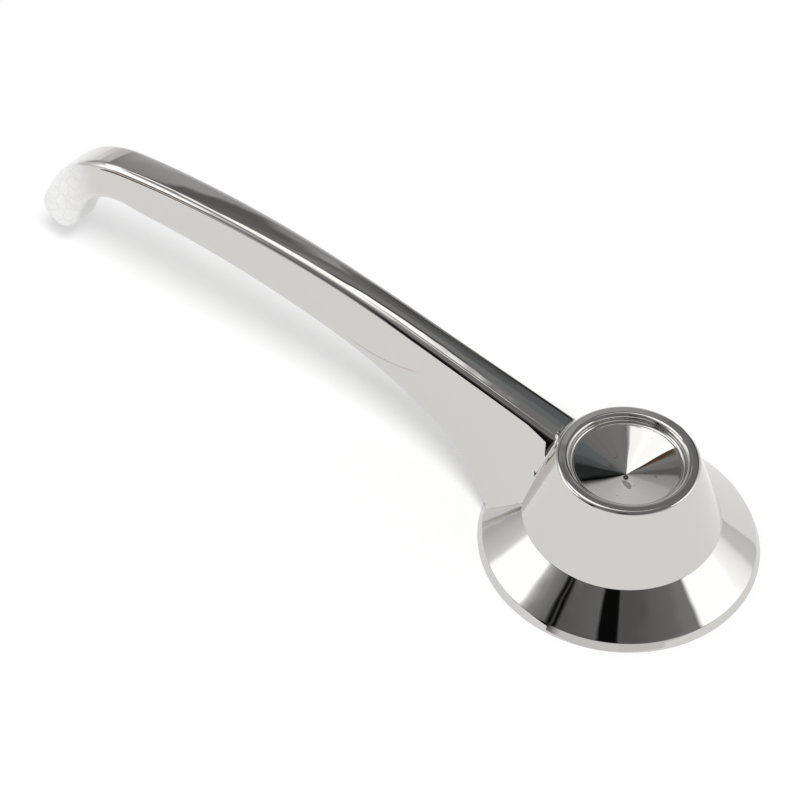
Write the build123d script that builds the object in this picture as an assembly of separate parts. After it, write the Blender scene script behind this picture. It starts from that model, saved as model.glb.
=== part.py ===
from build123d import *
import math
import os

# Interior door handle: a chrome plated zinc casting that is pressed onto a serrated spindle and held
# by a spring clip behind it. The lever, the round hub and its flange are one casting.
# Frame: millimetres, origin at the centre of the hub's door face, +Z along the spindle axis and away
# from the door, lever along -X. "Reach" is the distance from the spindle axis along the lever, and
# tilts in the side view are counted from straight up towards the lever's tip.

# Hub, seen from the front
flange_r = 23.15
flange_edge_r = 22.4
flange_edge_z = 1.4
cone_foot_r = 16.1
cone_foot_z = 6.9
crown_r = 11.3
crown_z = 19.7
rim_round = 0.35
foot_round = 0.4
crown_round = 0.7

# Dished centre of the hub, inside the crown's flat ring
crown_ring = 1.8
recess_r = crown_r - crown_ring
cove_r = 1.4
dish_depth = 2.45
recess_edge_bevel = 0.25

# Underside of the hub
shell_wall = 2.2
pocket_top_z = 13.2
pocket_bevel = 0.9
boss_recess = 0.4
boss_draft_deg = 1.0

# Spindle socket: a plain lead-in, then serrations that grip the spindle
lead_in_r = 5.1
lead_in_chamfer = 0.25
lead_in_top_z = 3.4
lead_in_clearance = 0.1
serration_root_r = lead_in_r - lead_in_clearance
serration_depth = 0.4
serration_crest_r = serration_root_r - serration_depth
serration_count = 36
serration_width = 0.6
socket_below_pocket = 0.2
socket_floor_z = pocket_top_z - socket_below_pocket
boss_wall = 2.9
boss_r = lead_in_r + boss_wall

# Retaining clip, a bent strip of spring steel whose legs lie in two notches across the boss
clip_z = 3.8
clip_thickness = 1.2
clip_strip = 2.3
clip_grip = 0.2
clip_gap = 2 * (serration_crest_r - clip_grip)
clip_bow_clearance = 0.3
clip_toe_spread = 1.1
clip_toe_length = 1.9
clip_toe_bend_r = 3.2
notch_clearance = 0.2

# Lever, seen from the side: straight off the hub, a long arch, then a hook towards the door
root_reach = 13.4
root_below_crown = 0.7
root_top_z = crown_z - root_below_crown
rise_deg = 10.1
straight_reach = 45.0
arch_r = 203.0
arch_end_deg = 7.1
hook_outer_r = 25.3
hook_deg = 61.0
hook_leg_length = 7.2
hook_depth = 7.8
hook_corner_r = 2.6
under_start_deg = 2.8
under_r = 197.0
under_end_reach = 36.2
web_foot_inset = 1.26

# Lever, seen from above and in section
buried_reach = 2.3
lever_start_reach = crown_r - buried_reach
lever_half_width = 2.8
tip_half_width = 3.4
widen_from_reach = 56.0
widen_to_reach = 108.0
side_draft = 0.044
root_flare = 0.47
flare_reach = 58.0
block_sections = 15
block_margin = 1.0
edge_tolerance = 0.01
top_edge_round = 1.4
under_edge_bevel = 0.4
root_round_clearance = 0.02
root_round = foot_round - root_round_clearance


def polar(centre, radius, tilt_deg):
    """Point at a tilt on a circle of the side view."""
    tilt = math.radians(tilt_deg)
    return (centre[0] + radius * math.sin(tilt), centre[1] + radius * math.cos(tilt))


def side_points():
    """Corners, arc centres and points half way along the arcs of the side view, as (reach, height)."""
    rise = math.tan(math.radians(rise_deg))
    at = {}
    at["axis_top"] = (0.0, root_top_z - root_reach * rise)
    at["arch_start"] = (straight_reach, root_top_z + (straight_reach - root_reach) * rise)
    at["arch_centre"] = polar(at["arch_start"], -arch_r, -rise_deg)
    at["arch_mid"] = polar(at["arch_centre"], arch_r, (arch_end_deg - rise_deg) / 2)
    at["arch_end"] = polar(at["arch_centre"], arch_r, arch_end_deg)

    at["hook_centre"] = polar(at["arch_end"], -hook_outer_r, arch_end_deg)
    at["hook_mid"] = polar(at["hook_centre"], hook_outer_r, (arch_end_deg + hook_deg) / 2)
    at["hook_end"] = polar(at["hook_centre"], hook_outer_r, hook_deg)
    at["leg_outer"] = polar(at["hook_end"], hook_leg_length, hook_deg + 90)
    at["leg_inner"] = polar(at["leg_outer"], -hook_depth, hook_deg)

    inner_r = hook_outer_r - hook_depth
    at["inner_end"] = polar(at["hook_centre"], inner_r, hook_deg)
    at["inner_mid"] = polar(at["hook_centre"], inner_r, (hook_deg + under_start_deg) / 2)
    at["under_start"] = polar(at["hook_centre"], inner_r, under_start_deg)
    under_centre = polar(at["under_start"], -under_r, under_start_deg)
    under_end_deg = math.degrees(math.asin((under_centre[0] - under_end_reach) / under_r))
    at["under_mid"] = polar(under_centre, under_r, (under_start_deg - under_end_deg) / 2)
    at["under_end"] = polar(under_centre, under_r, -under_end_deg)

    # The web is an arc that leaves the underside smoothly and lands on the flange, just inside its edge.
    flange_slope = (cone_foot_z - flange_edge_z) / (flange_edge_r - cone_foot_r)
    run = at["under_end"][0] - (flange_edge_r - web_foot_inset)
    drop = at["under_end"][1] - (flange_edge_z + web_foot_inset * flange_slope)
    tilt = math.radians(under_end_deg)
    web_r = (run ** 2 + drop ** 2) / (2 * (drop * math.cos(tilt) - run * math.sin(tilt)))
    web_centre = polar(at["under_end"], -web_r, -under_end_deg)
    web_end_deg = math.degrees(math.acos((flange_edge_z / 2 - web_centre[1]) / web_r))
    at["web_mid"] = polar(web_centre, web_r, -(under_end_deg + web_end_deg) / 2)
    at["web_end"] = polar(web_centre, web_r, -web_end_deg)
    return at


def top_height(at, reach):
    """Height of the lever's top line at a reach, held level past the start of the hook."""
    if reach <= at["arch_start"][0]:
        return root_top_z + (reach - root_reach) * math.tan(math.radians(rise_deg))
    reach = min(reach, at["arch_end"][0])
    return at["arch_centre"][1] + math.sqrt(arch_r ** 2 - (reach - at["arch_centre"][0]) ** 2)


def lever_side_view(at):
    """Side view of the lever as a face in the XZ plane, closed inside the hub."""
    flat = {name: (-reach, height) for name, (reach, height) in at.items()}
    axis_foot = (0.0, flange_edge_z / 2)
    outline = [
        Line(flat["axis_top"], flat["arch_start"]),
        ThreePointArc(flat["arch_start"], flat["arch_mid"], flat["arch_end"]),
        ThreePointArc(flat["arch_end"], flat["hook_mid"], flat["hook_end"]),
        Line(flat["hook_end"], flat["leg_outer"]),
        Line(flat["leg_outer"], flat["leg_inner"]),
        Line(flat["leg_inner"], flat["inner_end"]),
        ThreePointArc(flat["inner_end"], flat["inner_mid"], flat["under_start"]),
        ThreePointArc(flat["under_start"], flat["under_mid"], flat["under_end"]),
        ThreePointArc(flat["under_end"], flat["web_mid"], flat["web_end"]),
        Polyline(flat["web_end"], axis_foot, flat["axis_top"]),
    ]
    face = make_face(outline)
    corner = face.vertices().sort_by_distance(flat["leg_outer"])[0]
    return Plane.XZ * fillet(corner, hook_corner_r)


def lever_section(at, reach):
    """Upright section of the lever's block at a reach: a trapezium that spreads towards the door."""
    widening = (reach - widen_from_reach) / (widen_to_reach - widen_from_reach)
    half_width = lever_half_width + (tip_half_width - lever_half_width) * min(max(widening, 0.0), 1.0)
    flare = max(flare_reach - reach, 0.0) / (flare_reach - crown_r)
    draft = side_draft + root_flare * flare ** 2
    top = top_height(at, reach)
    high = top + block_margin
    low_half = half_width + draft * top
    high_half = half_width - draft * block_margin
    plane = Plane(origin=(-reach, 0, 0), x_dir=(0, -1, 0), z_dir=(-1, 0, 0))
    corners = [(-low_half, 0), (low_half, 0), (high_half, high), (-high_half, high)]
    return plane * make_face(Polyline(*corners, close=True))


def under_edges(solid, at):
    """The two rows of edges along the lever's underside, from the hook's leg to the flange."""
    ends = [at[name] for name in ("leg_inner", "inner_end", "under_start", "under_end", "web_end")]

    def beside_underside(edge):
        gaps = [
            min(math.hypot(vertex.X + reach, vertex.Z - height) for reach, height in ends)
            for vertex in edge.vertices()
        ]
        return max(gaps) < edge_tolerance and abs(edge.center().Y) > lever_half_width / 2

    return solid.edges().filter_by(beside_underside)


def top_edges(solid, at):
    """The two rows of edges along the lever's top, from the hub over the hook to its tip."""
    under = under_edges(solid, at)
    beside = solid.edges().filter_by(lambda edge: abs(edge.center().Y) > lever_half_width / 2)
    outside_hub = beside.filter_by(lambda edge: edge.center().X < -cone_foot_r)
    return [edge for edge in outside_hub if edge not in under and edge.center().Z > flange_edge_z]


def lever():
    """The lever: its side view cut out of a block with drafted, flaring sides, edges rounded."""
    at = side_points()
    block_end = at["leg_outer"][0] + hook_depth
    step = (block_end - lever_start_reach) / (block_sections - 1)
    block = loft([lever_section(at, lever_start_reach + step * i) for i in range(block_sections)])
    solid = block & extrude(lever_side_view(at), 2 * flange_r, both=True)
    solid = fillet(top_edges(solid, at), top_edge_round)
    return chamfer(under_edges(solid, at), under_edge_bevel)


def spun(outline, rounds=(), bevels=()):
    """A closed (radius, height) outline, turned about the spindle axis, with some corners finished."""
    face = make_face(outline)
    for point, radius in rounds:
        face = fillet(face.vertices().sort_by_distance(point)[0], radius)
    for point, width in bevels:
        face = chamfer(face.vertices().sort_by_distance(point)[0], width)
    return revolve(Plane.XZ * face, Axis.Z)


def hub():
    """The hub: the flange with its sloping face, the cone up to the crown, and the dish in the crown."""
    rim = (flange_r, 0)
    edge = (flange_edge_r, flange_edge_z)
    foot = (cone_foot_r, cone_foot_z)
    crown = (crown_r, crown_z)
    recess = (recess_r, crown_z)
    cove_centre = (recess_r - cove_r, crown_z)
    cove_end = (cove_centre[0], crown_z - cove_r)
    middle = (0, cove_end[1] - dish_depth)
    outline = [
        Polyline(middle, (0, 0), rim, edge, foot, crown, recess),
        ThreePointArc(recess, polar(cove_centre, cove_r, 135), cove_end),
        Line(cove_end, middle),
    ]
    rounds = [(edge, rim_round), (foot, foot_round), (crown, crown_round)]
    return spun(outline, rounds, [(recess, recess_edge_bevel)])


def inside_line(start, end):
    """A stretch of the hub's outline moved in by the shell's wall, as a point and a direction."""
    length = math.hypot(end[0] - start[0], end[1] - start[1])
    direction = ((end[0] - start[0]) / length, (end[1] - start[1]) / length)
    return (start[0] - shell_wall * direction[1], start[1] + shell_wall * direction[0]), direction


def at_height(line, height):
    """Point of a line in the (radius, height) plane at a height."""
    (radius, start_height), direction = line
    return (radius + (height - start_height) * direction[0] / direction[1], height)


def meeting(first, second):
    """Point where two lines of the (radius, height) plane cross."""
    (ax, ay), (ux, uy) = first
    (bx, by), (vx, vy) = second
    along = ((bx - ax) * vy - (by - ay) * vx) / (ux * vy - uy * vx)
    return (ax + ux * along, ay + uy * along)


def boss_radius(height):
    """Radius of the drafted boss at a height."""
    return boss_r + (height - boss_recess) * math.tan(math.radians(boss_draft_deg))


def pocket():
    """Air under the hub: a ring shaped pocket that leaves an even wall and the boss in its middle."""
    under_flange = inside_line((flange_edge_r, flange_edge_z), (cone_foot_r, cone_foot_z))
    under_cone = inside_line((cone_foot_r, cone_foot_z), (crown_r, crown_z))
    top_outer = at_height(under_cone, pocket_top_z)
    top_inner = (boss_radius(pocket_top_z), pocket_top_z)
    corners = [
        (0, -shell_wall),
        at_height(under_flange, -shell_wall),
        meeting(under_flange, under_cone),
        top_outer,
        top_inner,
        (boss_r, boss_recess),
        (0, boss_recess),
    ]
    bevels = [(top_outer, pocket_bevel), (top_inner, pocket_bevel)]
    return spun(Polyline(*corners, close=True), bevels=bevels)


def socket():
    """Air in the boss: the plain lead-in, then the serrated bore up to the socket's floor."""
    mouth = lead_in_r + lead_in_chamfer
    corners = [
        (0, 0),
        (mouth, 0),
        (mouth, boss_recess),
        (lead_in_r, boss_recess + lead_in_chamfer),
        (lead_in_r, lead_in_top_z),
        (0, lead_in_top_z),
    ]
    lead_in = spun(Polyline(*corners, close=True))
    depth = socket_floor_z - lead_in_top_z
    crests = Pos(0, 0, lead_in_top_z) * extrude(Circle(serration_crest_r), depth)
    tooth_depth = serration_root_r - serration_crest_r
    slope = serration_width / 2 / tooth_depth
    inner_r = serration_crest_r - tooth_depth
    inner_half = (serration_root_r - inner_r) * slope
    groove = make_face(
        Polyline((serration_root_r, 0), (inner_r, inner_half), (inner_r, -inner_half), close=True)
    )
    grooves = [place * groove for place in PolarLocations(0, serration_count)]
    return lead_in + crests + Pos(0, 0, lead_in_top_z) * extrude(Sketch() + grooves, depth)


def clip_notches():
    """Air in the boss: the two notches, open to the outside, that the clip's legs lie in."""
    width = boss_r - clip_gap / 2 + clip_strip
    height = clip_thickness + notch_clearance
    middle_z = clip_z + height / 2
    notch = Box(width, 2 * boss_r + clip_strip, height)
    return [Pos(side * (clip_gap + width) / 2, 0, middle_z) * notch for side in (-1, 1)]


def retaining_clip():
    """Horseshoe clip: a round bow, two straight legs and toes that spread past the boss."""
    leg_x = (clip_gap + clip_strip) / 2
    boss_exit_y = math.sqrt(boss_radius(clip_z + clip_thickness) ** 2 - (clip_gap / 2) ** 2)
    bow_y = boss_exit_y + clip_bow_clearance
    toe = (leg_x + clip_toe_spread, -boss_exit_y - clip_toe_length)
    legs = [
        FilletPolyline(
            (side * toe[0], toe[1]), (side * leg_x, -boss_exit_y), (side * leg_x, bow_y),
            radius=clip_toe_bend_r,
        )
        for side in (-1, 1)
    ]
    bow = ThreePointArc((-leg_x, bow_y), (0, bow_y + leg_x), (leg_x, bow_y))
    strip = trace(Curve() + legs + [bow], clip_strip)
    return extrude(Pos(0, 0, clip_z) * strip, clip_thickness)


def handle():
    """The casting: hub and lever in one, with the dish, the pocket and the socket taken out."""
    round_part = hub()
    long_part = lever()
    solid = round_part + long_part
    seam = new_edges(round_part, long_part, combined=solid)
    solid = fillet(seam.filter_by(lambda edge: edge.center().Z > cone_foot_z), root_round)
    return solid - pocket() - socket() - clip_notches()


os.makedirs("parts", exist_ok=True)
export_step(handle(), "parts/handle.step")
export_step(retaining_clip(), "parts/retaining_clip.step")
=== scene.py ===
# %% [markdown]
# # A chromed inside door handle
# The object is one casting: a long lever with a hooked tip, and a round hub with a dish in its top. It is
# plated with bright chrome, so almost everything that the eye sees on it is a reflection. Two things make
# such a picture: surfaces whose curvature is smooth and true, and a studio that is worth reflecting.
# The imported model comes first. It is the frame that every piece is made around.

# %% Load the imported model
import math

import bmesh
import bpy
import numpy as np
from mathutils import Matrix, Vector
from mathutils.geometry import delaunay_2d_cdt


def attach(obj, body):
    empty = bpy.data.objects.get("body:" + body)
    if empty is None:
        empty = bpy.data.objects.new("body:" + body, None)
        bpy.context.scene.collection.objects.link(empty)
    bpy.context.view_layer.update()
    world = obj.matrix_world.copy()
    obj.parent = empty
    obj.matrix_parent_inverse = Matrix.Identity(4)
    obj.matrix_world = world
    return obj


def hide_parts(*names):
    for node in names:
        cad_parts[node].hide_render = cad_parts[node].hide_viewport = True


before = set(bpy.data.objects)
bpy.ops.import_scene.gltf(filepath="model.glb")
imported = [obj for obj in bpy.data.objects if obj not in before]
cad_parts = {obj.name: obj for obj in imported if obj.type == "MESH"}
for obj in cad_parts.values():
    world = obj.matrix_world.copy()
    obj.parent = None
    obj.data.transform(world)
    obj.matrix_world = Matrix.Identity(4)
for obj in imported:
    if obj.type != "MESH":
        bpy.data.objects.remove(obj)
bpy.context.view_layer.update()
MM = 0.001
print("nodes:", sorted(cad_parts))

# %% [markdown]
# ## Paths with rounded corners
# Seen in section, a turned or cast piece is a row of straight runs whose corners are eased by small arcs.
# One could model each arc by hand or leave it to a Bevel modifier. Here a small function does it, because
# then the radius is a number, and the same function serves the hub's profile and the clip's bent strip.

# %% A path with rounded corners
ARC_STEP_DEG = 6.0


def rounded_path(corners, radii, spacing):
    """Points along a path of straight runs with some corners turned into arcs.

    An arc begins and ends radius * tan(turn / 2) from its corner, and its centre lies one radius to the
    side of the run before it. Runs are divided evenly into steps of about the spacing.
    """
    corners = np.asarray(corners, float)
    pieces = []
    start = corners[0]
    for k in range(1, len(corners)):
        along = corners[k] - corners[k - 1]
        along /= np.linalg.norm(along)
        stop, next_start, arc = corners[k], corners[k], []
        if radii[k] > 0:
            ahead = corners[k + 1] - corners[k]
            ahead /= np.linalg.norm(ahead)
            turn = math.atan2(along[0] * ahead[1] - along[1] * ahead[0], along @ ahead)
            ease = radii[k] * math.tan(abs(turn) / 2)
            stop, next_start = corners[k] - along * ease, corners[k] + ahead * ease
            side = math.copysign(1.0, turn) * np.array([-along[1], along[0]])
            centre = stop + radii[k] * side
            steps = max(2, math.ceil(abs(math.degrees(turn)) / ARC_STEP_DEG))
            angle = turn * np.arange(steps)[:, None] / steps
            out = stop - centre
            arc = centre + out * np.cos(angle) + np.array([-out[1], out[0]]) * np.sin(angle)
        length = np.linalg.norm(stop - start)
        if length > 1e-6:
            steps = max(1, math.ceil(length / spacing))
            pieces.append(start + (stop - start) * np.arange(steps)[:, None] / steps)
        if len(arc):
            pieces.append(arc)
        start = next_start
    return np.vstack(pieces + [corners[-1:]])


# %% [markdown]
# ## The hub
# The hub is a solid of revolution: a thin flange, a cone, a flat ring and a shallow dish, and underneath a
# hollow that leaves an even wall, with a boss in the middle that grips the serrated spindle. Spinning a
# curve with a Screw modifier would do, but the lever has to be let into it, so the surface is computed as
# a grid: one direction runs down the profile, and the other runs round the axis.

# %% The hub's profile, in millimetres as (radius, height)
FLANGE_R, FLANGE_EDGE_R, FLANGE_EDGE_Z = 23.15, 22.4, 1.4
FOOT_R, FOOT_Z, CROWN_R, CROWN_Z = 16.1, 6.9, 11.3, 19.7
RECESS_R, DISH_R, DISH_RIM_Z, DISH_MIDDLE_Z = 9.15, 8.45, 18.3, 15.85
WALL, POCKET_TOP_Z, BOSS_R, BOSS_Z = 2.2, 13.2, 8.0, 0.4
LEAD_IN_R, LEAD_IN_EASE, LEAD_IN_TOP_Z = 5.1, 0.25, 3.4
CREST_R, ROOT_DEPTH, SOCKET_FLOOR_Z, TEETH = 4.6, 0.4, 13.0, 36
CROWN_ROUND, FOOT_ROUND, BOSS_DRAFT_DEG, OUTER_STEP, INNER_STEP = 0.7, 0.4, 1, 0.45, 1.2
BOSS_TOP_R = BOSS_R + (POCKET_TOP_Z - BOSS_Z) * math.tan(math.radians(BOSS_DRAFT_DEG))


def inner_line(start, end):
    """Line (a, b, c) with a * r + b * z = c that runs one wall inside the run from start to end."""
    run = np.subtract(end, start)
    normal = np.array([-run[1], run[0]]) / np.linalg.norm(run)
    normal *= math.copysign(1.0, normal[0])
    return normal[0], normal[1], normal @ start - WALL


under_flange = inner_line((FLANGE_EDGE_R, FLANGE_EDGE_Z), (FOOT_R, FOOT_Z))
under_cone = inner_line((FOOT_R, FOOT_Z), (CROWN_R, CROWN_Z))
pocket_mouth_r = under_flange[2] / under_flange[0]
pocket_bend = np.linalg.solve([under_flange[:2], under_cone[:2]], [under_flange[2], under_cone[2]])
pocket_top_r = (under_cone[2] - under_cone[1] * POCKET_TOP_Z) / under_cone[0]

outer_corners = [
    (0, DISH_MIDDLE_Z), (DISH_R, DISH_RIM_Z), (RECESS_R, DISH_RIM_Z), (RECESS_R, CROWN_Z),
    (CROWN_R, CROWN_Z), (FOOT_R, FOOT_Z), (FLANGE_EDGE_R, FLANGE_EDGE_Z), (FLANGE_R, 0),
    (pocket_mouth_r, 0),
]
outer_rounds = [0, 0.3, 0.6, 0.75, CROWN_ROUND, FOOT_ROUND, 0.35, 0.1, 0]
outer_profile = rounded_path(outer_corners, outer_rounds, OUTER_STEP)
inner_corners = [
    (pocket_mouth_r, 0), pocket_bend, (pocket_top_r, POCKET_TOP_Z), (BOSS_TOP_R, POCKET_TOP_Z),
    (BOSS_R, BOSS_Z), (LEAD_IN_R + LEAD_IN_EASE, BOSS_Z), (LEAD_IN_R, BOSS_Z + LEAD_IN_EASE),
    (LEAD_IN_R, LEAD_IN_TOP_Z), (CREST_R, LEAD_IN_TOP_Z), (CREST_R, SOCKET_FLOOR_Z), (0, SOCKET_FLOOR_Z),
]
inner_rounds = [0, 1.0, 1.1, 1.1, 0.2, 0, 0, 0, 0, 0, 0]
inner_profile = rounded_path(inner_corners, inner_rounds, INNER_STEP)
# A first ring close to the axis keeps the dish's middle a sharp point.
near_axis = outer_profile[:1] * 0.95 + outer_profile[1:2] * 0.05
profile = np.vstack([outer_profile[:1], near_axis, outer_profile[1:-1], inner_profile])
travel = np.concatenate([[0], np.cumsum(np.linalg.norm(np.diff(profile, axis=0), axis=1))])
print("profile points:", len(profile), "length in mm:", round(travel[-1], 1))

# %% [markdown]
# The socket's 36 serrations are V shaped grooves, so on those rows the radius depends on the angle. With
# eight columns to a tooth the same grid holds the smooth cone outside and the serrations inside.

# %% The hub's grid
COLUMNS, GROOVE_HALF_MM = TEETH * 8, 0.3
theta = 2 * np.pi * np.arange(COLUMNS) / COLUMNS
pitch = 360 / TEETH
from_groove = np.abs((np.degrees(theta) + pitch / 2) % pitch - pitch / 2)
groove = np.clip(1 - from_groove / math.degrees(GROOVE_HALF_MM / CREST_R), 0, 1)
rows = profile[1:-1]
serrated = (np.abs(rows[:, 0] - CREST_R) < 1e-6) & (rows[:, 1] >= LEAD_IN_TOP_Z)
radius = rows[:, :1] + ROOT_DEPTH * serrated[:, None] * groove
hub_grid = np.stack(
    [radius * np.cos(theta), radius * np.sin(theta), np.broadcast_to(rows[:, 1:], radius.shape)], axis=-1
)
print("hub grid:", hub_grid.shape)

# %% [markdown]
# ## The lever, seen from the side
# The side view is two smooth lines. The top rises straight off the hub, arches, turns down in a hook and
# ends in a short leg. The underside follows it and spreads into a web that runs down to the flange. All
# arcs meet their neighbours tangentially. Each point of the top is paired with a point of the underside,
# and the straight rib between them is where one cross section of the lever will be drawn.

# %% The lever's side view, as (reach from the axis, height)
ROOT_REACH, ROOT_TOP_Z, RISE, STRAIGHT_REACH = 13.4, 19.0, math.radians(10.1), 45.0
ARCH_R, ARCH_END_DEG, HOOK_R, HOOK_DEG, LEG, DEPTH = 203.0, 7.1, 25.3, 61.0, 7.2, 7.8
UNDER_START_DEG, UNDER_R, UNDER_END_DEG, WEB_R, WEB_FOOT_Z = 2.8, 197.0, 17.0, 48.06, 0.7
TIP_CORNER_R, NOSE_R, START_REACH = 2.6, 2.2, 9.2
SAMPLE_MM = 0.05


def polar(centre, radius, tilt_deg):
    """Points on a circle: the centre plus the radius times (sine, cosine) of the tilt from upright."""
    tilt = np.radians(tilt_deg)
    return np.stack([centre[0] + radius * np.sin(tilt), centre[1] + radius * np.cos(tilt)], axis=-1)


def run(start, end):
    """Evenly spaced points from start up to, but not including, end."""
    count = max(2, math.ceil(np.linalg.norm(np.subtract(end, start)) / SAMPLE_MM))
    return start + np.subtract(end, start) * np.arange(count)[:, None] / count


def arc(centre, radius, first_deg, last_deg):
    """Evenly spaced points of an arc from one tilt up to, but not including, another."""
    count = max(2, math.ceil(radius * math.radians(abs(last_deg - first_deg)) / SAMPLE_MM))
    return polar(centre, radius, first_deg + (last_deg - first_deg) * np.arange(count) / count)


def straight_top(reach):
    """Height of the straight part of the top: a line at the rise angle through the root."""
    return ROOT_TOP_Z + (reach - ROOT_REACH) * math.tan(RISE)


print("height of the top where its straight part ends:", round(straight_top(STRAIGHT_REACH), 2))

# %% Where its lines meet
arch_start = np.array([STRAIGHT_REACH, straight_top(STRAIGHT_REACH)])
arch_centre = polar(arch_start, -ARCH_R, -math.degrees(RISE))
arch_end = polar(arch_centre, ARCH_R, ARCH_END_DEG)
hook_centre = polar(arch_end, -HOOK_R, ARCH_END_DEG)
hook_end = polar(hook_centre, HOOK_R, HOOK_DEG)
inner_end = polar(hook_centre, HOOK_R - DEPTH, HOOK_DEG)
leg_outer = polar(hook_end, LEG, HOOK_DEG + 90)
leg_inner = polar(inner_end, LEG, HOOK_DEG + 90)
under_start = polar(hook_centre, HOOK_R - DEPTH, UNDER_START_DEG)
under_centre = polar(under_start, -UNDER_R, UNDER_START_DEG)
under_end = polar(under_centre, UNDER_R, -UNDER_END_DEG)
web_centre = polar(under_end, -WEB_R, -UNDER_END_DEG)
web_end_deg = -math.degrees(math.acos((WEB_FOOT_Z - web_centre[1]) / WEB_R))
print("tip's corners:", leg_outer.round(2), leg_inner.round(2), "web ends at", round(web_end_deg, 1), "deg")

# %% Its two lines
top_start = np.array([START_REACH, straight_top(START_REACH)])
leg_corners = [hook_end, leg_outer, leg_inner, inner_end]
leg_path = rounded_path(leg_corners, [0, TIP_CORNER_R, NOSE_R, 0], SAMPLE_MM)
nose = int(np.linalg.norm(leg_path - leg_inner, axis=1).argmin())
tip_path, inside_path = leg_path[:nose + 1], leg_path[nose:][::-1]
top_line = np.vstack([
    run(top_start, arch_start),
    arc(arch_centre, ARCH_R, -math.degrees(RISE), ARCH_END_DEG),
    arc(hook_centre, HOOK_R, ARCH_END_DEG, HOOK_DEG),
    tip_path,
])
web_foot = polar(web_centre, WEB_R, web_end_deg)
under_line = np.vstack([
    run(np.array([0.0, WEB_FOOT_Z]), web_foot),
    arc(web_centre, WEB_R, web_end_deg, -UNDER_END_DEG),
    arc(under_centre, UNDER_R, -UNDER_END_DEG, UNDER_START_DEG),
    arc(hook_centre, HOOK_R - DEPTH, UNDER_START_DEG, HOOK_DEG),
    run(inner_end, leg_inner),
])
print("top points:", len(top_line), "underside points:", len(under_line))

# %% [markdown]
# A rib leaves the top line at a right angle and ends where it meets the underside. All ribs are found at
# once: for every rib and every point of the underside, the cross product tells on which side of the rib
# the point lies, and the rib ends where that sign changes. In the leg the two ends travel down outside
# and inside at their own even pace and meet in the middle of the rounded nose.

# %% Ribs from the top to the underside
RIB_EVERY, LEG_RIBS = 4, 120
steps = np.linalg.norm(np.diff(top_line, axis=0), axis=1)
station = np.concatenate([[0], np.cumsum(steps)])
leg_station = station[len(top_line) - len(tip_path)]
tangent = np.gradient(top_line, station, axis=0)
tangent /= np.linalg.norm(tangent, axis=1)[:, None]
inward = np.stack([tangent[:, 1], -tangent[:, 0]], axis=1)
ribs = top_line[station <= leg_station][::RIB_EVERY]
rib_inward = inward[station <= leg_station][::RIB_EVERY]
gap = under_line[None] - ribs[:, None]
side = rib_inward[:, None, 0] * gap[..., 1] - rib_inward[:, None, 1] * gap[..., 0]
depth = (rib_inward[:, None] * gap).sum(-1)
crosses = (side[:, :-1] * side[:, 1:] <= 0) & (depth[:, :-1] > 0)
nearest = np.where(crosses, depth[:, :-1], np.inf).argmin(1)
pick = np.arange(len(ribs))
share = side[pick, nearest] / (side[pick, nearest] - side[pick, nearest + 1])
rib_ends = under_line[nearest] + (under_line[nearest + 1] - under_line[nearest]) * share[:, None]
print("ribs:", len(ribs), "longest in mm:", round(float(np.linalg.norm(rib_ends - ribs, axis=1).max()), 2))


# %% Ribs of the leg
def along(table_station, table, s):
    """Values of a table of points at the stations s, by straight interpolation."""
    return np.stack([np.interp(s, table_station, table[:, 0]), np.interp(s, table_station, table[:, 1])], -1)


leg_share = np.linspace(0, 1, LEG_RIBS)[1:]
inside_way = np.concatenate([[0], np.cumsum(np.linalg.norm(np.diff(inside_path, axis=0), axis=1))])
rib_station = np.concatenate([
    station[station <= leg_station][::RIB_EVERY], leg_station + (station[-1] - leg_station) * leg_share
])
rib_ends = np.vstack([rib_ends, along(inside_way / inside_way[-1], inside_path, leg_share)])
print("ribs with those of the leg:", len(rib_ends))

# %% [markdown]
# ## The lever's cross section
# A die casting has to leave its mould, so its sides lean by a few degrees, and towards the hub they flare
# out like the foot of a tree. The top edges are well rounded for the hand and the lower ones only eased.
# A quarter circle that is sheared to fit between two lines stays tangent to both, and every rounded edge
# of the lever is drawn with it: corner + a * (1 - sin t) + b * (1 - cos t), where a and b run from the
# corner to the round's two ends and t turns from 0 to 90 degrees. Polishing has left the top a hair
# higher in its middle, and inside the hook the edges are round enough for a finger.

# %% How wide the lever is
HALF_WIDTH, TIP_HALF_WIDTH, WIDEN_FROM, WIDEN_TO = 2.8, 3.4, 56.0, 108.0
DRAFT, ROOT_FLARE, FLARE_REACH = 0.044, 0.47, 58.0


def half_width(reach, height):
    """Half the lever's width at a point of its side: the width at the top plus the lean times the drop."""
    wider = np.clip((reach - WIDEN_FROM) / (WIDEN_TO - WIDEN_FROM), 0, 1)
    at_top = HALF_WIDTH + (TIP_HALF_WIDTH - HALF_WIDTH) * wider
    flare = np.maximum(FLARE_REACH - reach, 0) / (FLARE_REACH - CROWN_R)
    held = np.minimum(reach, arch_end[0])
    arch = arch_centre[1] + np.sqrt(ARCH_R ** 2 - (held - arch_centre[0]) ** 2)
    top = np.where(held < STRAIGHT_REACH, straight_top(held), arch)
    return at_top + (DRAFT + ROOT_FLARE * flare ** 2) * (top - height)


print("half widths at the tip and the web's foot:", half_width(120, 12).round(2), half_width(20, 1).round(2))

# %% Points of the lever's surface
TOP_ROUND, UNDER_ROUND, HOOK_UNDER_ROUND, HOOK_ROUND_FROM, HOOK_ROUND_TO = 1.4, 0.4, 2.5, 99.0, 115.0
TOP_CROWN, MOST_OF_RIB = 0.06, 0.42
PLACES = {"top": 5, "top round": 12, "side": 26, "lower round": 6, "underside": 6}
HALF_COLUMNS = sum(PLACES.values()) + 1


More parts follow.
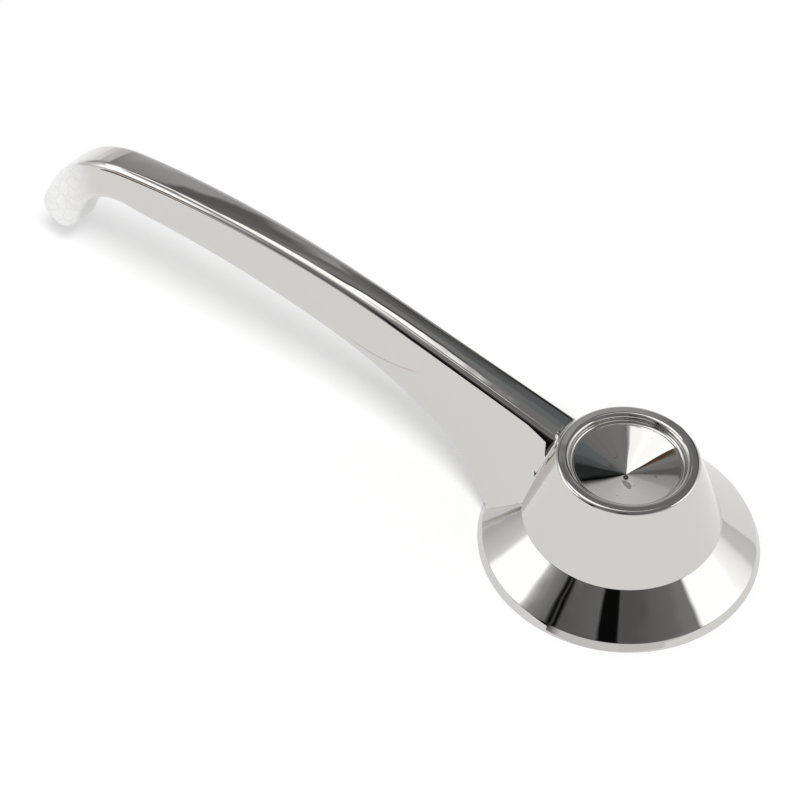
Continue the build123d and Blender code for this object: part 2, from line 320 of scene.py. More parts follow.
def lever_half(s):
    """Points (x, y, z) of the lever's +Y half for a matrix of stations with one column for each place.

    A rib runs from the top line to the underside. A place on the section is y across and depth down
    the rib, and the columns follow the top, the top round, the side, the lower round, the underside.
    The crown of the top is TOP_CROWN * (y / edge) ** 2, and it fades out along the round. Where a rib is
    shorter than the nose is wide, the sides draw in by what the rib lacks. No round takes more than
    MOST_OF_RIB of a rib.
    """
    top, foot = along(station, top_line, s), along(rib_station, rib_ends, s)
    length = np.maximum(np.linalg.norm(foot - top, axis=-1), 1e-4)
    down = (foot - top) / length[..., None]
    way = along(station, tangent, s)
    slant = np.clip(np.abs(way[..., 0] * down[..., 1] - way[..., 1] * down[..., 0]), 0.3, 1)
    drawn_in = NOSE_R - np.minimum(length / 2, NOSE_R)

    def width(depth):
        place = top + down * depth[..., None]
        return half_width(place[..., 0], place[..., 1]) - drawn_in

    y_top, y_foot, near = width(0 * length), width(length), 0.05 * length
    lean_top = (width(near) - y_top) / near
    lean_foot = (y_foot - width(length - near)) / near
    ease_top = TOP_ROUND * np.tan(np.pi / 4 - np.arctan(lean_top) / 2)
    in_hook = np.clip((foot[..., 0] - HOOK_ROUND_FROM) / (HOOK_ROUND_TO - HOOK_ROUND_FROM), 0, 1)
    under_round = UNDER_ROUND + (HOOK_UNDER_ROUND - UNDER_ROUND) * in_hook ** 2 * (3 - 2 * in_hook)
    ease_foot = under_round * np.tan(np.pi / 4 + np.arctan(lean_foot) / 2)
    depth_top = np.minimum(ease_top / np.hypot(1, lean_top) / slant, MOST_OF_RIB * length)
    depth_foot = np.minimum(ease_foot / np.hypot(1, lean_foot), MOST_OF_RIB * length)
    crown = TOP_CROWN * np.minimum(length / DEPTH, 1)
    ease_top = np.minimum(ease_top, 2 * depth_top)
    ease_foot = np.minimum(ease_foot, 2 * depth_foot)

    first, columns = 0, []
    for place, count in PLACES.items():
        stop = first + count + (place == "underside")
        f = np.arange(stop - first) / count
        part = slice(first, stop)
        turn_in, turn_out = 1 - np.sin(f * np.pi / 2), 1 - np.cos(f * np.pi / 2)
        rim, low, full = y_top[:, part], y_foot[:, part], length[:, part]
        out_t, out_f = ease_top[:, part], ease_foot[:, part]
        down_t, down_f = depth_top[:, part], depth_foot[:, part]
        side_t, side_f = width(depth_top)[:, part], width(length - depth_foot)[:, part]
        if place == "top":
            columns.append(((rim - out_t) * f, crown[:, part] * f ** 2))
        elif place == "top round":
            y = rim - out_t * turn_in + (side_t - rim) * turn_out
            fading = crown[:, part] * (2 * y / (rim - out_t) - 1) * (1 - f) ** 2
            columns.append((y, down_t * turn_out + fading))
        elif place == "side":
            depth = np.zeros(s.shape)
            depth[:, part] = down_t + (full - down_t - down_f) * f
            columns.append((width(depth)[:, part], depth[:, part]))
        elif place == "lower round":
            columns.append((low + (side_f - low) * turn_in - out_f * turn_out, full - down_f * turn_in))
        else:
            columns.append(((low - out_f) * (1 - f), full))
        first = stop
    y, depth = (np.concatenate(part, axis=1) for part in zip(*columns))
    side_view = top + down * depth[..., None]
    return np.stack([-side_view[..., 0], y, side_view[..., 1]], axis=-1)


print("columns round the lever:", 2 * HALF_COLUMNS - 2)


# %% Which way the surface faces, tried close to the hub
def direction(grid, axis):
    """Direction of travel along a grid of uneven steps: each side's slope counts by the other's length."""
    grid = np.moveaxis(grid, axis, 0)
    step = np.diff(grid, axis=0)
    long = np.maximum(np.linalg.norm(step, axis=-1, keepdims=True), 1e-9)
    slope = step / long
    middle = slope[:-1] * long[1:] + slope[1:] * long[:-1]
    return np.moveaxis(np.concatenate([slope[:1], middle, slope[-1:]]), 0, axis)


def outward(grid):
    """Unit normals of one half of the lever: the cross product of the grid's two directions of travel."""
    normal = np.cross(direction(grid, 1), direction(grid, 0))
    normal[:, [0, -1], 1] = 0
    return normal / np.maximum(np.linalg.norm(normal, axis=-1, keepdims=True), 1e-12)


PROBE_FROM, PROBE_TO, PROBES = 0.05, 26, 260
probe = np.repeat(np.linspace(PROBE_FROM, PROBE_TO, PROBES)[:, None], HALF_COLUMNS, axis=1)
probe_points = lever_half(probe)
probe_normals = outward(probe_points)
print("the top faces", probe_normals[-1, 0].round(3))

# %% [markdown]
# ## Where the lever grows out of the hub
# In the casting a small round runs along the corner between lever and hub, and on chrome it shows as a
# thin bright line. It can be pictured as the track of a ball that rolls along the corner and touches both.
# A boolean with a bevel would guess at it, while the ball can be placed exactly: on each column of the
# lever's grid it touches the surface at a point p, its centre is p + ball * normal, and the distance from
# that centre to the hub has to be one ball radius too. One bisected station for each column gives it.

# %% The hub's outside as a distance
def meets(line_a, line_b):
    """The point where two lines a * r + b * z = c cross."""
    return np.linalg.solve([line_a[:2], line_b[:2]], [line_a[2], line_b[2]])


def outer_line(start, end):
    """Line (a, b, c) through two points, with (a, b) a unit vector that points out of the casting."""
    a, b, c = inner_line(start, end)
    return a, b, c + WALL


cone_line = outer_line((FOOT_R, FOOT_Z), (CROWN_R, CROWN_Z))
flange_line = outer_line((FLANGE_EDGE_R, FLANGE_EDGE_Z), (FOOT_R, FOOT_Z))
crown_centre = meets((*cone_line[:2], cone_line[2] - CROWN_ROUND), (0, 1, CROWN_Z - CROWN_ROUND))
foot_centre = meets(
    (*cone_line[:2], cone_line[2] + FOOT_ROUND), (*flange_line[:2], flange_line[2] + FOOT_ROUND)
)


def from_line(line, r, z):
    """Signed distance of points from a line."""
    return line[0] * r + line[1] * z - line[2]


def hub_distance(r, z):
    """Distance outside the hub: the larger of cone and crown, rounded, then the smaller of it and flange."""
    cone, crown, flange = from_line(cone_line, r, z), z - CROWN_Z, from_line(flange_line, r, z)
    dr, dz = r - crown_centre[0], z - crown_centre[1]
    on_round = (dz > 0) & (dr * cone_line[1] - dz * cone_line[0] < 0) & (dr > 0)
    upper = np.where(on_round, np.hypot(dr, dz) - CROWN_ROUND, np.maximum(cone, crown))
    dr, dz = r - foot_centre[0], z - foot_centre[1]
    in_foot = (dr * cone_line[1] - dz * cone_line[0] < 0) & (dr * flange_line[1] - dz * flange_line[0] > 0)
    in_foot &= (dr * (cone_line[0] + flange_line[0]) + dz * (cone_line[1] + flange_line[1])) < 0
    return np.where(in_foot, FOOT_ROUND - np.hypot(dr, dz), np.minimum(upper, flange))


def hub_slope(r, z, step=1e-4):
    """Unit direction in which the hub's distance grows, by central differences."""
    up = np.stack([
        hub_distance(r + step, z) - hub_distance(r - step, z),
        hub_distance(r, z + step) - hub_distance(r, z - step),
    ], axis=-1)
    return up / np.linalg.norm(up, axis=-1, keepdims=True)


print("distance of a point 1 mm above the ring:", hub_distance(np.array(CROWN_R - 1), CROWN_Z + 1).round(6))

# %% Roll the ball along the corner
BALL, LOW_BALL, LOW_BALL_Z, BALL_Z, ARC_ROWS = 0.5, 0.3, 7.5, 10.0, 7


def spread(vector, like):
    """Turns unit directions (r, z) into x, y, z at the places of other points."""
    r = np.hypot(like[..., 0], like[..., 1])
    x, y = (vector[..., 0] * like[..., k] / r for k in (0, 1))
    return np.stack([x, y, vector[..., 1]], axis=-1)


def ball_radius(height):
    """The ball shrinks smoothly from the cone down to the flange, where the corner is tighter."""
    f = np.clip((height - LOW_BALL_Z) / (BALL_Z - LOW_BALL_Z), 0, 1)
    return LOW_BALL + (BALL - LOW_BALL) * f * f * (3 - 2 * f)


ball = ball_radius(probe_points[..., 2])
centres = probe_points + ball[..., None] * probe_normals
clear = hub_distance(np.hypot(centres[..., 0], centres[..., 1]), centres[..., 2]) - ball
last = len(clear) - 1 - (clear[::-1] < 0).argmax(axis=0)
column = np.arange(HALF_COLUMNS)
share = clear[last, column] / (clear[last, column] - clear[last + 1, column])
start_station = probe[last, column] + share * (probe[1, 0] - probe[0, 0])
lever_contact = lever_half(start_station[None])[0]
share = share[:, None]
normal = probe_normals[last, column] * (1 - share) + probe_normals[last + 1, column] * share
normal /= np.linalg.norm(normal, axis=1, keepdims=True)
ball = ball_radius(lever_contact[:, 2])[:, None]
centre = lever_contact + ball * normal
to_hub = -spread(hub_slope(np.hypot(centre[:, 0], centre[:, 1]), centre[:, 2]), centre)
opening = np.arccos(np.clip((-normal * to_hub).sum(1), -1, 1))[None, :, None]
f = np.linspace(0, 1, ARC_ROWS)[:, None, None]
turned = (np.sin((1 - f) * opening) * to_hub - np.sin(f * opening) * normal) / np.sin(opening)
corner_rows = centre + ball * turned
print("stations at the hub in mm:", start_station.min().round(2), "to", start_station.max().round(2))
print("corner opening in degrees:", np.degrees(opening).min().round(1), np.degrees(opening).max().round(1))

# %% The lever's rows, from the corner out to the tip
EVEN_FROM, NEAR_ROWS, ARCH_STEP, HOOK_STEP, LEG_STEP, LAST_STEPS = 24.0, 43, 0.9, 0.5, 0.25, (0.12, 0.03)
hook_station = leg_station - HOOK_R * math.radians(HOOK_DEG - ARCH_END_DEG)
f = np.linspace(0, 1, NEAR_ROWS + 1)[1:, None]
near_rows = start_station + (EVEN_FROM - start_station) * f
far = np.concatenate([
    np.arange(EVEN_FROM + ARCH_STEP, hook_station, ARCH_STEP),
    np.arange(hook_station, leg_station, HOOK_STEP),
    np.arange(leg_station, station[-1] - 0.2, LEG_STEP),
    station[-1] - np.array(LAST_STEPS),
])
far_rows = np.repeat(far[:, None], HALF_COLUMNS, axis=1)
half_rows = np.concatenate([corner_rows, lever_half(np.vstack([near_rows, far_rows]))])
half_rows[:, [0, -1], 1] = 0


def both_sides(half):
    """The columns of one half, and then those of the other in mirrored order."""
    return np.concatenate([half, half[:, -2:0:-1] * [1, -1, 1]], axis=1)


lever_grid, lever_normals = both_sides(half_rows), both_sides(outward(half_rows))
print("lever grid:", lever_grid.shape)

# %% [markdown]
# ## One skin for hub and lever
# The rows of the corner end in a loop that lies on the hub. The hub's grid is opened inside that loop, and
# the ring between loop and grid is filled with triangles in the flat plane of (angle, way down the
# profile), where a Delaunay triangulation keeps them well shaped. So the casting becomes one closed skin,
# and there is no hidden wall inside it.

# %% Open the hub's grid and let the lever in
FLAT_R, RING_R = 14.0, RECESS_R + 0.9
SPARE_COLUMNS, SPARE_MM, LOOP_GAP = 3, 1.2, 0.2
loop = lever_grid[0]
outer = slice(int(np.argmax(rows[:, 0] > RING_R)), int(np.argmax(rows[:, 0])) + 1)
way_down = travel[1:-1]
loop_flat = np.stack([
    (np.arctan2(loop[:, 1], loop[:, 0]) % (2 * np.pi) - np.pi) * FLAT_R,
    np.interp(np.hypot(loop[:, 0], loop[:, 1]), rows[outer, 0], way_down[outer]),
], axis=1)
side_columns = math.ceil(np.abs(loop_flat[:, 0]).max() / FLAT_R / theta[1]) + SPARE_COLUMNS
first_column, last_column = COLUMNS // 2 - side_columns, COLUMNS // 2 + side_columns
first_row = int(np.searchsorted(way_down, loop_flat[:, 1].min() - SPARE_MM))
last_row = int(np.searchsorted(way_down, loop_flat[:, 1].max() + SPARE_MM))
row_ids, column_ids = np.meshgrid(
    np.arange(first_row, last_row + 1), np.arange(first_column, last_column + 1), indexing="ij"
)
window_ids = row_ids * COLUMNS + column_ids
window_flat = np.stack([(theta[column_ids] - np.pi) * FLAT_R, way_down[row_ids]], axis=-1)
print("window in the hub's grid:", window_ids.shape)


# %% Fill the ring between loop and grid
def inside_loop(points):
    """True where a ray to the right of a point crosses the loop an odd number of times."""
    x, y = points[:, :1], points[:, 1:]
    x1, y1 = loop_flat.T
    x2, y2 = np.roll(loop_flat, -1, axis=0).T
    flips = (y1 > y) != (y2 > y)
    at = (x2 - x1) * (y - y1) / np.where(y2 == y1, 1, y2 - y1) + x1
    return (flips & (x < at)).sum(1) % 2 == 1


def loop_distance(points):
    """Distance of each point from the nearest stretch of the loop."""
    a, b = loop_flat, np.roll(loop_flat, -1, axis=0)
    span = b - a
    f = ((points[:, None] - a) * span).sum(-1) / (span * span).sum(-1)
    nearest_point = a + np.clip(f, 0, 1)[..., None] * span
    return np.linalg.norm(points[:, None] - nearest_point, axis=-1).min(1)


flat_points = window_flat.reshape(-1, 2)
used = ~inside_loop(flat_points) & (loop_distance(flat_points) > LOOP_GAP)
grid_ids = window_ids.reshape(-1)[used]
hub_count, loop_count = len(rows) * COLUMNS + 2, len(loop)
all_flat = np.vstack([loop_flat, flat_points[used]])
all_ids = np.concatenate([hub_count + np.arange(loop_count), grid_ids])
loop_edges = [(k, (k + 1) % loop_count) for k in range(loop_count)]
flat_vectors = [Vector(p) for p in all_flat]
found = delaunay_2d_cdt(flat_vectors, loop_edges, [], 0, 1e-7, True)
source = np.array([ids[0] for ids in found[3]])
triangles = np.array(found[2])
middles = np.array([tuple(p) for p in found[0]])[triangles].mean(axis=1)
triangles = all_ids[source[triangles[~inside_loop(middles)]]]
print("points kept:", int(used.sum()), "of", used.size, "triangles:", len(triangles), "new points:",
      len(found[0]) - len(all_flat))

# %% Faces of the whole skin
def grid_faces(row_count, column_count, first=0):
    """Quads of a grid that closes on itself in its second direction, as an array of corner numbers."""
    i, j = np.meshgrid(np.arange(row_count - 1), np.arange(column_count), indexing="ij")
    k = (j + 1) % column_count
    quads = np.stack([i * column_count + j, (i + 1) * column_count + j, (i + 1) * column_count + k,
                      i * column_count + k], axis=-1)
    return first + quads


hub_quads = grid_faces(len(rows), COLUMNS)
open_quads = np.zeros(hub_quads.shape[:2], bool)
open_quads[first_row:last_row, first_column:last_column] = True
hub_quads = hub_quads[~open_quads]
ring = np.arange(COLUMNS)
after = (ring + 1) % COLUMNS
bottom_row = (len(rows) - 1) * COLUMNS
top_fan = np.stack([ring, after, np.full(COLUMNS, hub_count - 2)], axis=1)
floor_fan = np.stack([bottom_row + after, bottom_row + ring, np.full(COLUMNS, hub_count - 1)], axis=1)
lever_quads = grid_faces(len(lever_grid), loop_count, hub_count).reshape(-1, 4)
tip = hub_count + (len(lever_grid) - 1) * loop_count
j = np.arange(HALF_COLUMNS - 1)
tip_quads = np.stack([j, j + 1, (loop_count - j - 1) % loop_count, (loop_count - j) % loop_count], axis=1)
tip_quads = tip + tip_quads
tip_faces = [tuple(dict.fromkeys(quad)) for quad in tip_quads.tolist()]
points = np.vstack([
    hub_grid.reshape(-1, 3), [[0, 0, DISH_MIDDLE_Z], [0, 0, SOCKET_FLOOR_Z]], lever_grid.reshape(-1, 3)
])
faces = hub_quads.tolist() + top_fan.tolist() + floor_fan.tolist() + lever_quads.tolist()
faces += tip_faces + triangles.tolist()
print("points:", len(points), "faces:", len(faces))


# %% Make the casting
def skin(name, points_mm, faces):
    """A mesh object in metres from points in millimetres, with its faces turned outward."""
    mesh = bpy.data.meshes.new(name)
    mesh.from_pydata((np.asarray(points_mm) * MM).tolist(), [], faces)
    work = bmesh.new()
    work.from_mesh(mesh)
    bmesh.ops.recalc_face_normals(work, faces=work.faces)
    if work.calc_volume(signed=True) < 0:
        bmesh.ops.reverse_faces(work, faces=work.faces)
    loose = [v for v in work.verts if not v.link_faces]
    bmesh.ops.delete(work, geom=loose, context="VERTS")
    open_edges = sum(len(edge.link_faces) != 2 for edge in work.edges)
    volume = round(work.calc_volume() * 1e6, 2)
    print(name, "faces:", len(work.faces), "open edges:", open_edges, "cm3:", volume)
    work.to_mesh(mesh)
    work.free()
    made = bpy.data.objects.new(name, mesh)
    bpy.context.scene.collection.objects.link(made)
    return made


chromed_handle = skin("chromed_handle", points, faces)

# %% [markdown]
# The boss has two notches across it for the legs of the spring clip. They cut through its drafted outside
# and into the serrations, where no grid line would follow them, so here a boolean with two plain boxes is
# the honest tool. It keeps the vertices of the rest of the skin where they are.

# %% Cut the clip's notches into the boss
NOTCH_INNER_X, NOTCH_OUTER_X, NOTCH_HALF_Y, NOTCH_LOW_Z, NOTCH_HIGH_Z = 4.4, 10.3, 9.15, 3.8, 5.2


def box_points(low, high):
    """The eight corners of a box, counted in binary: x changes slowest and z fastest."""
    corner = np.indices((2, 2, 2)).reshape(3, -1).T
    return np.where(corner == 0, low, high)


BOX_FACES = np.array([[0, 1, 3, 2], [4, 6, 7, 5], [0, 4, 5, 1], [2, 3, 7, 6], [0, 2, 6, 4], [1, 5, 7, 3]])
right = box_points([NOTCH_INNER_X, -NOTCH_HALF_Y, NOTCH_LOW_Z], [NOTCH_OUTER_X, NOTCH_HALF_Y, NOTCH_HIGH_Z])
both_boxes = np.vstack([right, right * [-1, 1, 1]])
notches = skin("notches", both_boxes, np.vstack([BOX_FACES, BOX_FACES + len(right)]).tolist())
cut = chromed_handle.modifiers.new("notches", "BOOLEAN")
cut.operation, cut.solver, cut.object = "DIFFERENCE", "MANIFOLD", notches
bpy.context.view_layer.update()
shown = chromed_handle.evaluated_get(bpy.context.evaluated_depsgraph_get())
cut_mesh = bpy.data.meshes.new_from_object(shown)
chromed_handle.modifiers.clear()
chromed_handle.data = cut_mesh
cut_mesh.name = "chromed_handle"
bpy.data.objects.remove(notches)
print("faces with notches:", len(cut_mesh.polygons))

# %% [markdown]
# ## Shading that is true to the curve
# A mirror shows every error of its normals. Blender averages the normals of the faces round a vertex,
# which is good on an even grid, but wavers where the faces are slim or uneven. The lever's true normals
# come from its grid and the hub's from its distance formula, so both are written in, and elsewhere a zero
# asks for the average. The boolean has shuffled the vertices, but not moved them: each finds its old
# number again by its exact place, for which one sum of its three coordinates serves as a key.

# %% Find each vertex by its old number
KEY = np.array([1.0, 7.31, 53.17])
place = np.empty(len(cut_mesh.vertices) * 3, np.float32)
cut_mesh.vertices.foreach_get("co", place)
place = place.reshape(-1, 3)
old_keys = (points * MM).astype(np.float32).astype(float) @ KEY
order = np.argsort(old_keys)
keys = place.astype(float) @ KEY
at = np.minimum(np.searchsorted(old_keys[order], keys), len(order) - 1)
old_number = np.where(old_keys[order][at] == keys, order[at], -1)
place = place.astype(float) / MM
print("vertices:", len(place), "not found:", int((old_number < 0).sum()))

# %% Write the normals
SHARP_DEG, TIP_ROWS, TOUCHING_MM, RING_PART, ABOVE_RIM = 32, 3, 2e-3, 1.0, 0.6
cut_mesh.shade_smooth()
cut_mesh.set_sharp_from_angle(angle=math.radians(SHARP_DEG))
r, z = np.hypot(place[:, 0], place[:, 1]), place[:, 2]
on_hub = np.abs(hub_distance(r, z)) < TOUCHING_MM
on_hub &= (r > CROWN_R - RING_PART) & (z > FLANGE_EDGE_Z + ABOVE_RIM)
true_normals = np.zeros((len(place), 3))
on_lever = (old_number >= hub_count + loop_count) & (old_number < len(points) - TIP_ROWS * loop_count)
true_normals[on_lever] = lever_normals.reshape(-1, 3)[old_number[on_lever] - hub_count]
true_normals[on_hub] = spread(hub_slope(r[on_hub], z[on_hub]), place[on_hub])
cut_mesh.normals_split_custom_set_from_vertices(true_normals.tolist())
print("true normals: lever", int(on_lever.sum()), "hub", int(on_hub.sum()), "of", len(place))

# %% [markdown]
# ## Where the plating ends
# Plating needs the current to reach a surface. Outside it is bright, but in the deep hollow under the hub
# it stays thin and grey over the grain of the casting. A point attribute tells the material which is
# which: 1 outside, falling to 0 within a few millimetres past the hollow's mouth.

# %% Mark the polished outside
NEAR_WALL, PLATED_DEPTH = 0.4, 3.0
under_flange_r, under_cone_r = ((c - b * z) / a for a, b, c in (under_flange, under_cone))
hollow_r = np.where(z < pocket_bend[1], under_flange_r, under_cone_r)
inside_hollow = (r < hollow_r + NEAR_WALL) & (z < POCKET_TOP_Z + NEAR_WALL)
polish = np.where(inside_hollow, np.clip(1 - z / PLATED_DEPTH, 0, 1), 1.0)
cut_mesh.attributes.new("polish", "FLOAT", "POINT").data.foreach_set("value", polish)
print("vertices in the hollow:", int(inside_hollow.sum()))

# %% [markdown]
# ## The spring clip
# Under the hub a horseshoe of spring steel lies in the notches, bent from flat strip. It is a profile
# carried along a path: the path is the bow with its two legs and toes, and the profile is a rectangle
# whose edges are eased, because blanked strip is tumbled before it is hardened.

# %% Bend the clip
CLIP_Z, CLIP_THICK, CLIP_STRIP, CLIP_GAP, CLIP_EASE = 3.8, 1.2, 2.3, 8.8, 0.2
BOSS_EXIT_Y, BOW_Y, TOE_SPREAD, TOE_LENGTH, TOE_BEND_R = 6.763, 7.063, 1.1, 1.9, 3.2
LEG_STEP_MM, STRIP_STEP_MM, BOW_POINTS, CLIP_SHARP_DEG = 0.8, 0.6, 41, 44
LEG_X = (CLIP_GAP + CLIP_STRIP) / 2

toe = (LEG_X + TOE_SPREAD, -BOSS_EXIT_Y - TOE_LENGTH)
leg_path = rounded_path([toe, (LEG_X, -BOSS_EXIT_Y), (LEG_X, BOW_Y)], [0, TOE_BEND_R, 0], LEG_STEP_MM)
angle = np.linspace(0, np.pi, BOW_POINTS)[1:-1, None]
bow = np.concatenate([LEG_X * np.cos(angle), BOW_Y + LEG_X * np.sin(angle)], axis=1)
clip_path = np.vstack([leg_path, bow, leg_path[::-1] * [-1, 1]])
half_s, half_t = CLIP_STRIP / 2, CLIP_THICK / 2
strip_corners = [
    (0, -half_t), (half_s, -half_t), (half_s, half_t), (-half_s, half_t), (-half_s, -half_t), (0, -half_t),
]
strip = rounded_path(strip_corners, [0, *[CLIP_EASE] * 4, 0], STRIP_STEP_MM)[:-1]
print("clip path:", clip_path.shape, "strip:", strip.shape)

# %% Carry the strip along the bow
clip_way = np.gradient(clip_path, axis=0)
clip_way /= np.linalg.norm(clip_way, axis=1, keepdims=True)
clip_side = np.stack([clip_way[:, 1], -clip_way[:, 0]], axis=1)
flat_part = clip_path[:, None] + clip_side[:, None] * strip[None, :, :1]
height = np.broadcast_to(CLIP_Z + half_t + strip[None, :, 1:], (len(clip_path), len(strip), 1))
clip_grid = np.concatenate([flat_part, height], axis=2)
clip_faces = grid_faces(len(clip_path), len(strip)).reshape(-1, 4).tolist()
end_ring = np.arange(len(strip))
clip_faces += [end_ring.tolist(), (end_ring + (len(clip_path) - 1) * len(strip)).tolist()]
spring_clip = skin("spring_clip", clip_grid.reshape(-1, 3), clip_faces)
spring_clip.data.shade_smooth()
spring_clip.data.set_sharp_from_angle(angle=math.radians(CLIP_SHARP_DEG))

# %% [markdown]
# ## Shader maths as sums
# Node trees are easier to read as formulas. The class below wraps a socket, and each sum, product or
# difference of wrapped sockets adds the Math node that it stands for.

# %% A socket that can be used in sums
class Shade:
    """A node's output in a tree. Operators add Math nodes, and node() adds any other node."""

    def __init__(self, tree, socket=None):
        self.tree, self.socket = tree, socket

    def node(self, kind, settings=None, inputs=None, output=0):
        """Adds a node, first sets its settings, then fills or links its sockets, and wraps one output."""
        made = self.tree.nodes.new("ShaderNode" + kind)
        for name, value in (settings or {}).items():
            if name == "stops":
                ramp = made.color_ramp.elements
                ramp.remove(ramp[-1])
                ramp[0].position, ramp[0].color = value[0]
                for position, colour in value[1:]:
                    ramp.new(position).color = colour
            else:
                setattr(made, name, value)
        for name, value in (inputs or {}).items():
            if isinstance(value, Shade):
                self.tree.links.new(value.socket, made.inputs[name])
            else:
                made.inputs[name].default_value = value
        return Shade(self.tree, made.outputs[output] if len(made.outputs) else None)

    def maths(self, operation, *values):
        """A Math node of that operation on the values."""
        return self.node("Math", {"operation": operation}, dict(enumerate(values)))

    def __add__(self, other):
        return self.maths("ADD", self, other)

    def __sub__(self, other):
        return self.maths("SUBTRACT", self, other)

    def __rsub__(self, other):
        return self.maths("SUBTRACT", other, self)

    def __mul__(self, other):
        return self.maths("MULTIPLY", self, other)

    def __truediv__(self, other):
        return self.maths("DIVIDE", self, other)

    __radd__, __rmul__ = __add__, __mul__

    def soft_step(self, low, high):
        """0 below low, 1 above high, and a smooth S between them."""
        given = {"Value": self, "From Min": low, "From Max": high}
        return self.node("MapRange", {"interpolation_type": "SMOOTHSTEP"}, given)

    def mix(self, first, second):
        """The first colour where this mask is 0 and the second where it is 1."""
        given = {"Factor": self, 6: first, 7: second}
        return self.node("Mix", {"data_type": "RGBA"}, given, 2)


def new_material(name):
    """An empty node material, and the wrapper that adds nodes to it."""
    made = bpy.data.materials.new(name)
    made.use_nodes = True
    made.node_tree.nodes.clear()
    return made, Shade(made.node_tree)


def finish_with(surface, kind="OutputMaterial"):
    """Links a shader to the tree's output."""
    surface.node(kind, None, {"Surface": surface})


print("shader helper ready")

# %% [markdown]
# ## Chrome, and the grey inside
# Chrome plate is a mirror that returns about two thirds of the light, slightly warm. A perfect mirror looks
# like a computer picture, so a faint haze of wiping goes into the roughness, and a bump of a few hundredths
# of a millimetre makes the reflections waver. In the hollow the base colour darkens and the roughness rises
# to that of a bare casting.

# %% Where the plating is, and its grain
CHROME, CASTING = (0.62, 0.605, 0.585, 1), (0.30, 0.30, 0.30, 1)
HAZE_SCALE, GRAIN_SCALE = 60.0, 900.0

chrome_plate, tree = new_material("chrome_plate")
spot = tree.node("TexCoord", None, None, "Object")
across = tree.node("SeparateXYZ", None, {"Vector": spot}, "Y")
reach = 0 - tree.node("SeparateXYZ", None, {"Vector": spot}, "X")
height = tree.node("SeparateXYZ", None, {"Vector": spot}, "Z")
outside = tree.node("Attribute", {"attribute_name": "polish"}, None, "Fac")
haze = tree.node("TexNoise", None, {"Vector": spot, "Scale": HAZE_SCALE, "Detail": 3.0})
grain = tree.node("TexNoise", None, {"Vector": spot, "Scale": GRAIN_SCALE, "Detail": 2.0})
print("haze every", round(1 / HAZE_SCALE / MM, 1), "mm, grain every", round(1 / GRAIN_SCALE / MM, 1), "mm")

# %% [markdown]
# The real handle is worn, and the wear also changes its colour. The tip is frosted and finely crazed, as
# plating is where it was held most, so a cell pattern breaks the frost, and its base colour is raised whiter
# than the chrome's as a painted highlight. One scratch bends along the lever's side: a parabola in reach and
# height, drawn where a point is close enough to that line.

# %% The frosted tip with its painted highlight, and the scratch, in metres
FROST_HIGHLIGHT_WHITE, TARNISH = (0.86, 0.86, 0.86, 1), (0.30, 0.22, 0.15, 1)
CRAZE_SCALE, FROST_FROM, FROST_TO, CRAZE_DEPTH = 420.0, 0.110, 0.122, 0.32
SCRATCH_REACH, SCRATCH_Z, SCRATCH_FALL, SCRATCH_BOW = 0.047, 0.01585, 0.0625, 16.0
SCRATCH_CORE, SCRATCH_EDGE, SCRATCH_WAVER = 0.00003, 0.0002, 0.0006

craze = {"Vector": spot, "Scale": CRAZE_SCALE}
cells = tree.node("TexVoronoi", {"feature": "DISTANCE_TO_EDGE"}, craze, "Distance")
crazed = (1 - CRAZE_DEPTH) + CRAZE_DEPTH * (cells + 0.1 * grain).soft_step(0.03, 0.16)
# Painted highlight: besides the frost's real roughness, this mask whitens the tip's base colour beyond the
# chrome's.
frost_and_highlight = reach.soft_step(FROST_FROM, FROST_TO) * crazed * haze.soft_step(0.25, 0.6)
bend = reach - SCRATCH_REACH
line = height - SCRATCH_Z + SCRATCH_FALL * bend - SCRATCH_BOW * (bend * bend)
off_line = tree.maths("ABSOLUTE", line + SCRATCH_WAVER * (haze - 0.5))
scratch = (1 - off_line.soft_step(SCRATCH_CORE, SCRATCH_EDGE)) * reach.soft_step(0.038, 0.041)
scratch = scratch * (1 - reach.soft_step(0.050, 0.055)) * (1 - across.soft_step(-0.002, -0.001))
print("frost from", FROST_FROM, "to", FROST_TO, "and the scratch round", SCRATCH_REACH)

# %% [markdown]
# The dish has small pits and one dark oval mark. The pits are where the grain is highest, kept within a ball
# that just holds the dish. The mark is an oval: a Mapping node turns and shrinks space until the oval is a
# circle of radius 1, and the grain makes its edge ragged.

# %% Pits and a dark oval in the dish
DARK_OVAL_COLOUR = (0.22, 0.22, 0.20, 1)
DISH_CENTRE, DISH_FULL, DISH_NONE, PIT_LOW, PIT_HIGH = (0, 0, 0.0175), 0.0084, 0.0086, 0.67, 0.72
DARK_OVAL_PLACE, DARK_OVAL_TURN, DARK_OVAL_SIZE = (0.0016, -0.0024, 0.0166), (0, 0, -0.5), (0.0013, 0.0006, 1)

from_dish = tree.node("VectorMath", {"operation": "DISTANCE"}, {0: spot, 1: DISH_CENTRE}, "Value")
pits = grain.soft_step(PIT_LOW, PIT_HIGH) * (1 - from_dish.soft_step(DISH_FULL, DISH_NONE))
in_dark_oval = {"Vector": spot, "Location": DARK_OVAL_PLACE, "Rotation": DARK_OVAL_TURN, "Scale": DARK_OVAL_SIZE}
dark_oval_space = tree.node("Mapping", {"vector_type": "TEXTURE"}, in_dark_oval)
from_dark_oval = tree.node("VectorMath", {"operation": "LENGTH"}, {"Vector": dark_oval_space}, "Value")
# A dark oval painted into the dish's colour; the surface keeps its shape.
dark_oval = 1 - (from_dark_oval + 0.9 * (grain - 0.5)).soft_step(0.8, 1.0)
dark_oval = dark_oval * height.soft_step(0.0155, 0.0157)
print("dent's half axes in mm:", [round(v / MM, 1) for v in DARK_OVAL_SIZE[:2]])

# %% Put the plating together
WAVE_SCALE, WAVE_DEPTH = 170.0, 0.00004
